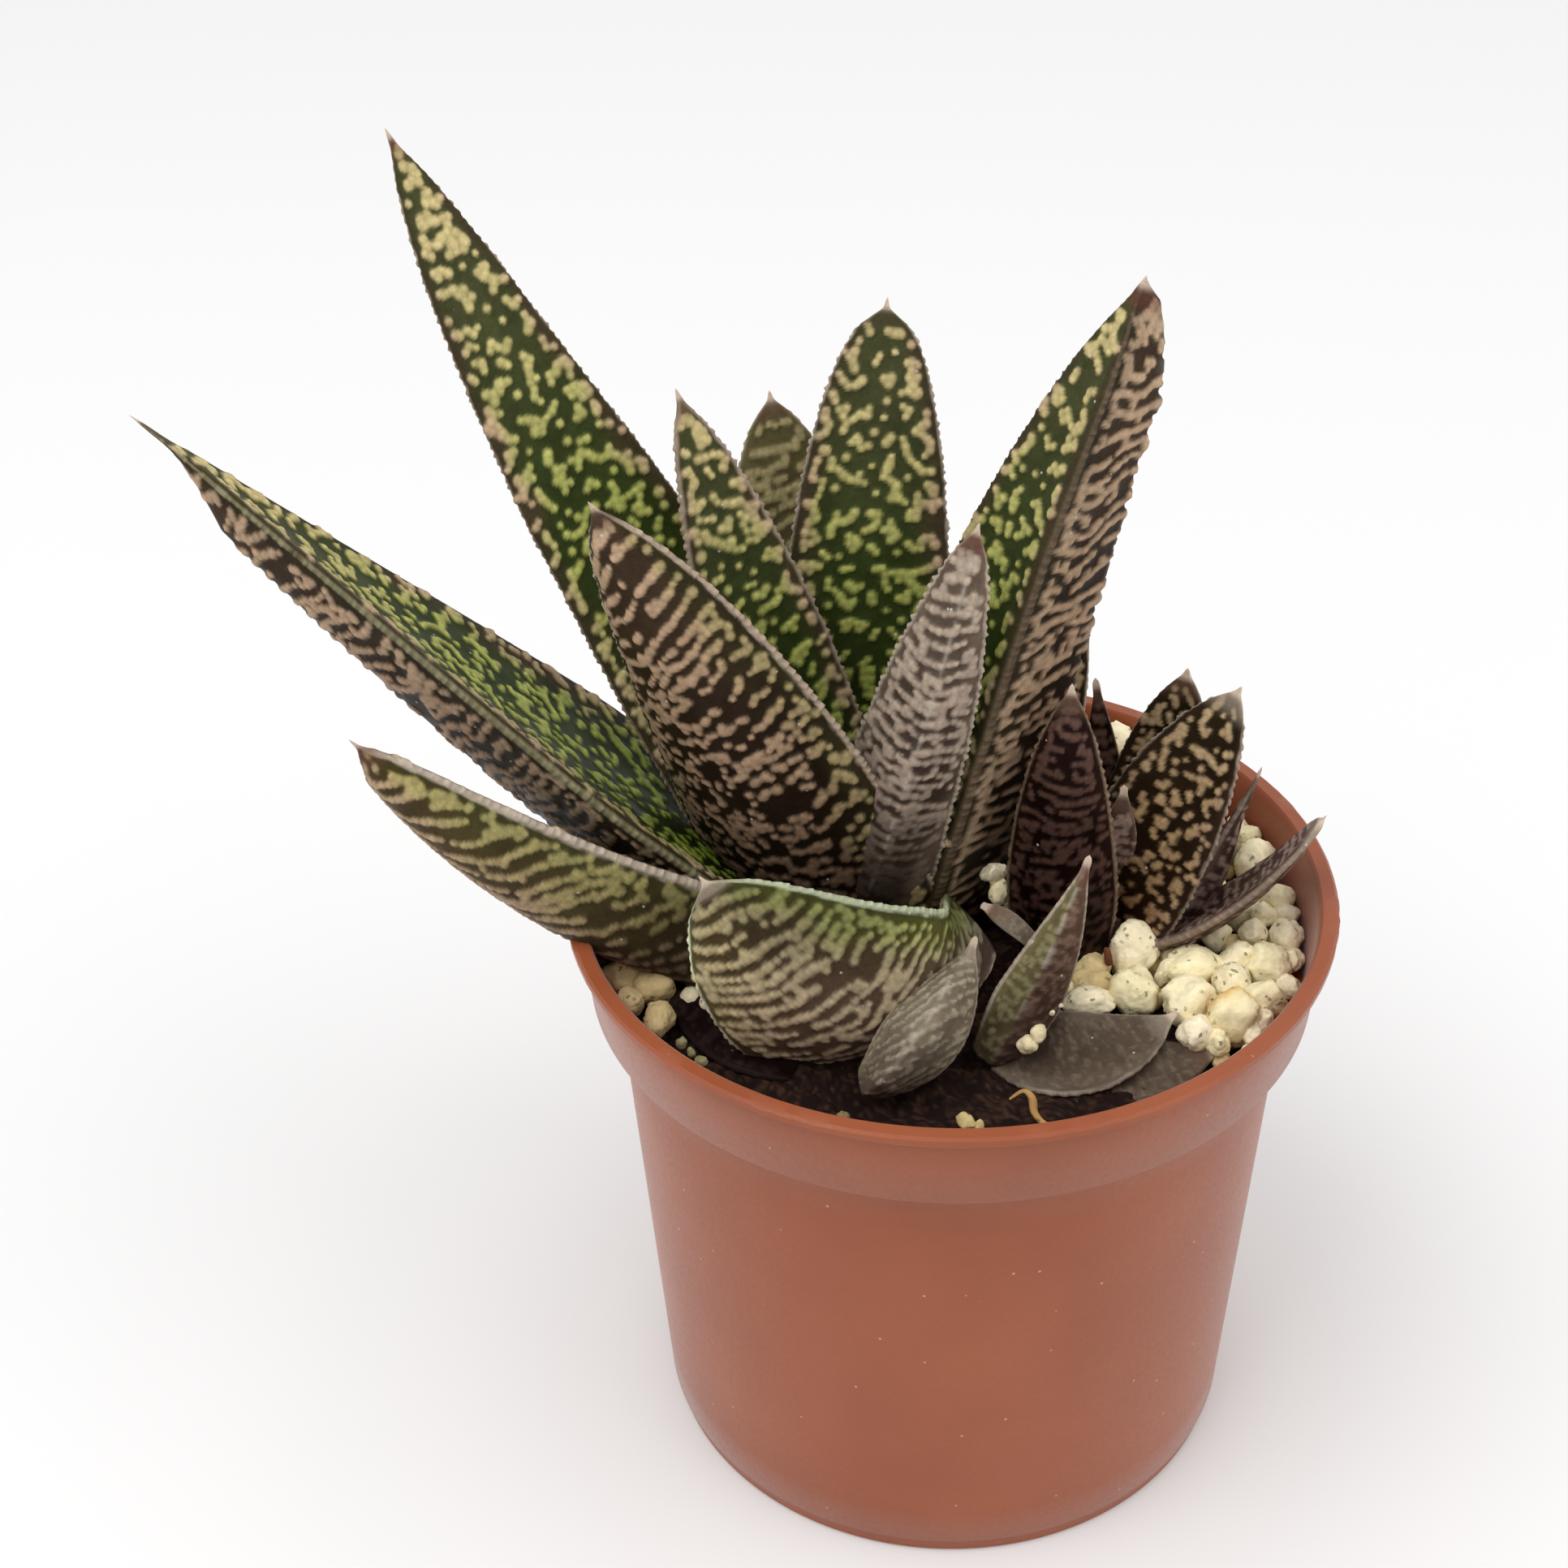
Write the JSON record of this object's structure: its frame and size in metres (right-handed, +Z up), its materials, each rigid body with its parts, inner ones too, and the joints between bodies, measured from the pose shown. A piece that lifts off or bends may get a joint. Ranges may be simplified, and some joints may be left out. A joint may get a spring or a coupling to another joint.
{
  "type": "potted gasteria",
  "caption": "Small succulent with stiff, warty, tongue-shaped leaves and an offset, in a round tapered plastic nursery pot with pale pumice on dark soil.",
  "frame": {"origin": "centre of the pot's flat base, on the surface it stands on", "axes": "+Z up out of the pot, -Y towards the front that the picture shows, +X to the right in that view"},
  "size_m": [0.1266, 0.085, 0.149],
  "materials": {
    "terracotta_plastic": "matte, terracotta coloured",
    "potting_mix": "dark, crumbly and damp, standing in for peat and bark",
    "pumice": "cream, rough and porous, standing in for pumice stone",
    "stem": "dull and dry",
    "leaf_green": "satin, dark green with pale tubercles and reddish brown backs, standing in for leaf",
    "leaf_grey": "satin, greyed and drying, standing in for old leaf",
    "leaf_dark": "satin, very dark brown green with fine pale spots, standing in for young leaf"
  },
  "bodies": {
    "root": {"pot": "terracotta_plastic", "soil": "potting_mix", "stem_main": "stem", "stem_pup": "stem", "pumice": "pumice", "loose_grain": "pumice", "leaf_front_curl": "leaf_green", "leaf_centre": "leaf_green", "leaf_tall_right": "leaf_green", "leaf_side_left": "leaf_green", "leaf_mid_left": "leaf_green", "leaf_inner_left": "leaf_green", "leaf_low_left": "leaf_green", "leaf_tall_left": "leaf_green", "leaf_back_wide": "leaf_green", "leaf_back_short": "leaf_green", "leaf_back_low": "leaf_green", "leaf_back_right": "leaf_green", "leaf_front_point": "leaf_grey", "leaf_bud": "leaf_grey", "leaf_front_flat": "leaf_grey", "leaf_front_under": "leaf_grey", "leaf_old_dark": "leaf_grey", "dried_bract": "leaf_grey", "pup_leaf_front": "leaf_dark", "pup_leaf_wide": "leaf_dark", "pup_leaf_back": "leaf_dark", "pup_leaf_behind": "leaf_dark", "pup_leaf_narrow": "leaf_dark", "pup_leaf_low": "leaf_dark", "pup_leaf_inner": "leaf_dark"}
  },
  "joints": []
}
